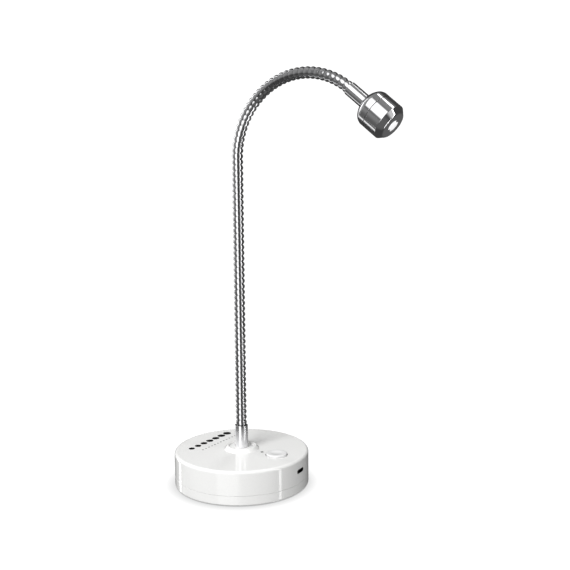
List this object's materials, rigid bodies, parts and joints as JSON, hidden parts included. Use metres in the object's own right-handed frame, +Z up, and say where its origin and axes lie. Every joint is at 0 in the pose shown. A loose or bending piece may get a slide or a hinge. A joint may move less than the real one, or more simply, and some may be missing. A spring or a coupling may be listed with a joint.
{
  "type": "uv curing lamp",
  "caption": "Desktop curing lamp: a round weighted base with a push button and a charging port, a polished gooseneck and a small metal lamp head with a clear lens.",
  "frame": {"origin": "centre of the resting face under the round base", "axes": "+Z up, +X the way the neck bends; the button, indicator and charging port are on that side, turned 4.5 degrees from it about Z"},
  "size_m": [0.1675, 0.0938, 0.2823],
  "materials": {
    "gloss_white": "high gloss, moulded",
    "grey_rubber": "matt",
    "steel": "zinc plated",
    "hose_steel": "polished",
    "chrome": "polished",
    "head_metal": "polished, chrome-like",
    "bare_aluminium": "satin",
    "board_green": "solder mask",
    "board_white": "solder mask",
    "black_plastic": "satin",
    "smoked_plastic": "smoked clear",
    "led_package": "satin",
    "cell_wrap": "foil",
    "foam_tape": "foam",
    "red_wire": "satin",
    "cable_sheath": "satin",
    "lens_clear": "clear"
  },
  "bodies": {
    "base": {"base_shell": "gloss_white", "bottom_cover": "gloss_white", "anti_slip_pad": "grey_rubber", "ballast_plate": "steel", "cover_screw_1": "steel", "cover_screw_2": "steel", "cover_screw_3": "steel", "lower_ferrule": "chrome", "ferrule_washer": "steel", "ferrule_lock_nut": "steel", "main_pcb": "board_green", "pcb_screw_1": "steel", "pcb_screw_2": "steel", "usb_c_shell": "steel", "usb_c_tongue": "black_plastic", "tact_switch_body": "black_plastic", "indicator_led": "led_package", "indicator_light_pipe": "smoked_plastic", "charge_chip": "black_plastic", "battery_cell": "cell_wrap", "battery_tape": "foam_tape", "battery_lead_positive": "red_wire", "battery_lead_negative": "cable_sheath", "lamp_cable_base": "cable_sheath", "gooseneck_00": "hose_steel"},
    "button": {"button_cap": "gloss_white", "switch_plunger": "black_plastic"},
    "neck_01": {"gooseneck_01": "hose_steel"},
    "neck_02": {"gooseneck_02": "hose_steel"},
    "neck_03": {"gooseneck_03": "hose_steel"},
    "neck_04": {"gooseneck_04": "hose_steel"},
    "neck_05": {"gooseneck_05": "hose_steel"},
    "neck_06": {"gooseneck_06": "hose_steel"},
    "neck_07": {"gooseneck_07": "hose_steel"},
    "neck_08": {"gooseneck_08": "hose_steel"},
    "neck_09": {"gooseneck_09": "hose_steel"},
    "neck_10": {"gooseneck_10": "hose_steel"},
    "neck_11": {"gooseneck_11": "hose_steel"},
    "neck_12": {"gooseneck_12": "hose_steel"},
    "neck_13": {"gooseneck_13": "hose_steel"},
    "neck_14": {"gooseneck_14": "hose_steel"},
    "neck_15": {"gooseneck_15": "hose_steel"},
    "neck_16": {"gooseneck_16": "hose_steel"},
    "neck_17": {"gooseneck_17": "hose_steel"},
    "neck_18": {"gooseneck_18": "hose_steel"},
    "neck_19": {"gooseneck_19": "hose_steel"},
    "neck_20": {"gooseneck_20": "hose_steel"},
    "head": {"gooseneck_21": "hose_steel", "lamp_cable_head": "cable_sheath", "upper_ferrule": "chrome", "head_lock_nut": "steel", "head_rear_cap": "head_metal", "head_barrel": "head_metal", "heat_sink": "bare_aluminium", "led_board": "board_white", "led_emitter": "led_package", "lens_spacer": "black_plastic", "lens_gasket": "grey_rubber", "lens": "lens_clear"}
  },
  "joints": [
    {"name": "button_press", "type": "slide", "parent": "base", "child": "button", "axis": [0, 0, -1], "range_m": [0, 0.0005], "stiffness_N_per_m": 300},
    {"name": "neck_lean_1", "type": "hinge", "parent": "base", "child": "neck_01", "pos_m": [0, 0, 0.0532], "axis": [0.0003, 1, 0], "range_deg": [-12, 12]},
    {"name": "neck_side_1", "type": "hinge", "parent": "neck_01", "child": "neck_02", "pos_m": [0, 0, 0.0713], "axis": [1, 0.0003, 0], "range_deg": [-12, 12]},
    {"name": "neck_lean_2", "type": "hinge", "parent": "neck_02", "child": "neck_03", "pos_m": [0, 0, 0.0894], "axis": [0.0003, 1, 0], "range_deg": [-12, 12]},
    {"name": "neck_side_2", "type": "hinge", "parent": "neck_03", "child": "neck_04", "pos_m": [0, 0, 0.1075], "axis": [1, 0.0003, 0], "range_deg": [-12, 12]},
    {"name": "neck_lean_3", "type": "hinge", "parent": "neck_04", "child": "neck_05", "pos_m": [0, 0, 0.1256], "axis": [0.0003, 1, 0], "range_deg": [-12, 12]},
    {"name": "neck_side_3", "type": "hinge", "parent": "neck_05", "child": "neck_06", "pos_m": [0, 0, 0.1437], "axis": [1, 0.0003, 0], "range_deg": [-12, 12]},
    {"name": "neck_lean_4", "type": "hinge", "parent": "neck_06", "child": "neck_07", "pos_m": [0, 0, 0.1618], "axis": [0.0003, 1, 0], "range_deg": [-12, 12]},
    {"name": "neck_side_4", "type": "hinge", "parent": "neck_07", "child": "neck_08", "pos_m": [0, 0, 0.1799], "axis": [1, 0.0003, 0], "range_deg": [-12, 12]},
    {"name": "neck_lean_5", "type": "hinge", "parent": "neck_08", "child": "neck_09", "pos_m": [0, 0, 0.198], "axis": [0.0003, 1, 0], "range_deg": [-12, 12]},
    {"name": "neck_side_5", "type": "hinge", "parent": "neck_09", "child": "neck_10", "pos_m": [0, 0, 0.2161], "axis": [1, 0.0003, 0], "range_deg": [-12, 12]},
    {"name": "neck_curl_1", "type": "hinge", "parent": "neck_10", "child": "neck_11", "pos_m": [0.00027, 0, 0.23138], "axis": [0.0003, 1, 0], "range_deg": [-11.69, 2.5]},
    {"name": "neck_curl_2", "type": "hinge", "parent": "neck_11", "child": "neck_12", "pos_m": [0.00245, 0, 0.24191], "axis": [0.0003, 1, 0], "range_deg": [-11.69, 2.5]},
    {"name": "neck_curl_3", "type": "hinge", "parent": "neck_12", "child": "neck_13", "pos_m": [0.00672, 0, 0.25178], "axis": [0.0003, 1, 0], "range_deg": [-11.69, 2.5]},
    {"name": "neck_curl_4", "type": "hinge", "parent": "neck_13", "child": "neck_14", "pos_m": [0.0129, 0, 0.26058], "axis": [0.0003, 1, 0], "range_deg": [-11.69, 2.5]},
    {"name": "neck_curl_5", "type": "hinge", "parent": "neck_14", "child": "neck_15", "pos_m": [0.02074, 0, 0.26795], "axis": [0.0003, 1, 0], "range_deg": [-11.69, 2.5]},
    {"name": "neck_curl_6", "type": "hinge", "parent": "neck_15", "child": "neck_16", "pos_m": [0.0299, 0, 0.27358], "axis": [0.0003, 1, 0], "range_deg": [-11.69, 2.5]},
    {"name": "neck_curl_7", "type": "hinge", "parent": "neck_16", "child": "neck_17", "pos_m": [0.04002, 0, 0.27723], "axis": [0.0003, 1, 0], "range_deg": [-11.69, 2.5]},
    {"name": "neck_curl_8", "type": "hinge", "parent": "neck_17", "child": "neck_18", "pos_m": [0.05066, 0, 0.27876], "axis": [0.0003, 1, 0], "range_deg": [-11.69, 2.5]},
    {"name": "neck_curl_9", "type": "hinge", "parent": "neck_18", "child": "neck_19", "pos_m": [0.0614, 0, 0.2781], "axis": [0.0003, 1, 0], "range_deg": [-11.69, 2.5]},
    {"name": "neck_curl_10", "type": "hinge", "parent": "neck_19", "child": "neck_20", "pos_m": [0.07178, 0, 0.27527], "axis": [0.0003, 1, 0], "range_deg": [-11.69, 2.5]},
    {"name": "neck_curl_11", "type": "hinge", "parent": "neck_20", "child": "head", "pos_m": [0.08137, 0, 0.2704], "axis": [0.0003, 1, 0], "range_deg": [-11.69, 2.5]}
  ],
  "couplings": [
    {"joint": "neck_lean_2", "follows": "neck_lean_1", "ratio": 1},
    {"joint": "neck_side_2", "follows": "neck_side_1", "ratio": 1},
    {"joint": "neck_lean_3", "follows": "neck_lean_1", "ratio": 1},
    {"joint": "neck_side_3", "follows": "neck_side_1", "ratio": 1},
    {"joint": "neck_lean_4", "follows": "neck_lean_1", "ratio": 1},
    {"joint": "neck_side_4", "follows": "neck_side_1", "ratio": 1},
    {"joint": "neck_lean_5", "follows": "neck_lean_1", "ratio": 1},
    {"joint": "neck_side_5", "follows": "neck_side_1", "ratio": 1},
    {"joint": "neck_curl_2", "follows": "neck_curl_1", "ratio": 1},
    {"joint": "neck_curl_3", "follows": "neck_curl_1", "ratio": 1},
    {"joint": "neck_curl_4", "follows": "neck_curl_1", "ratio": 1},
    {"joint": "neck_curl_5", "follows": "neck_curl_1", "ratio": 1},
    {"joint": "neck_curl_6", "follows": "neck_curl_1", "ratio": 1},
    {"joint": "neck_curl_7", "follows": "neck_curl_1", "ratio": 1},
    {"joint": "neck_curl_8", "follows": "neck_curl_1", "ratio": 1},
    {"joint": "neck_curl_9", "follows": "neck_curl_1", "ratio": 1},
    {"joint": "neck_curl_10", "follows": "neck_curl_1", "ratio": 1},
    {"joint": "neck_curl_11", "follows": "neck_curl_1", "ratio": 1}
  ]
}
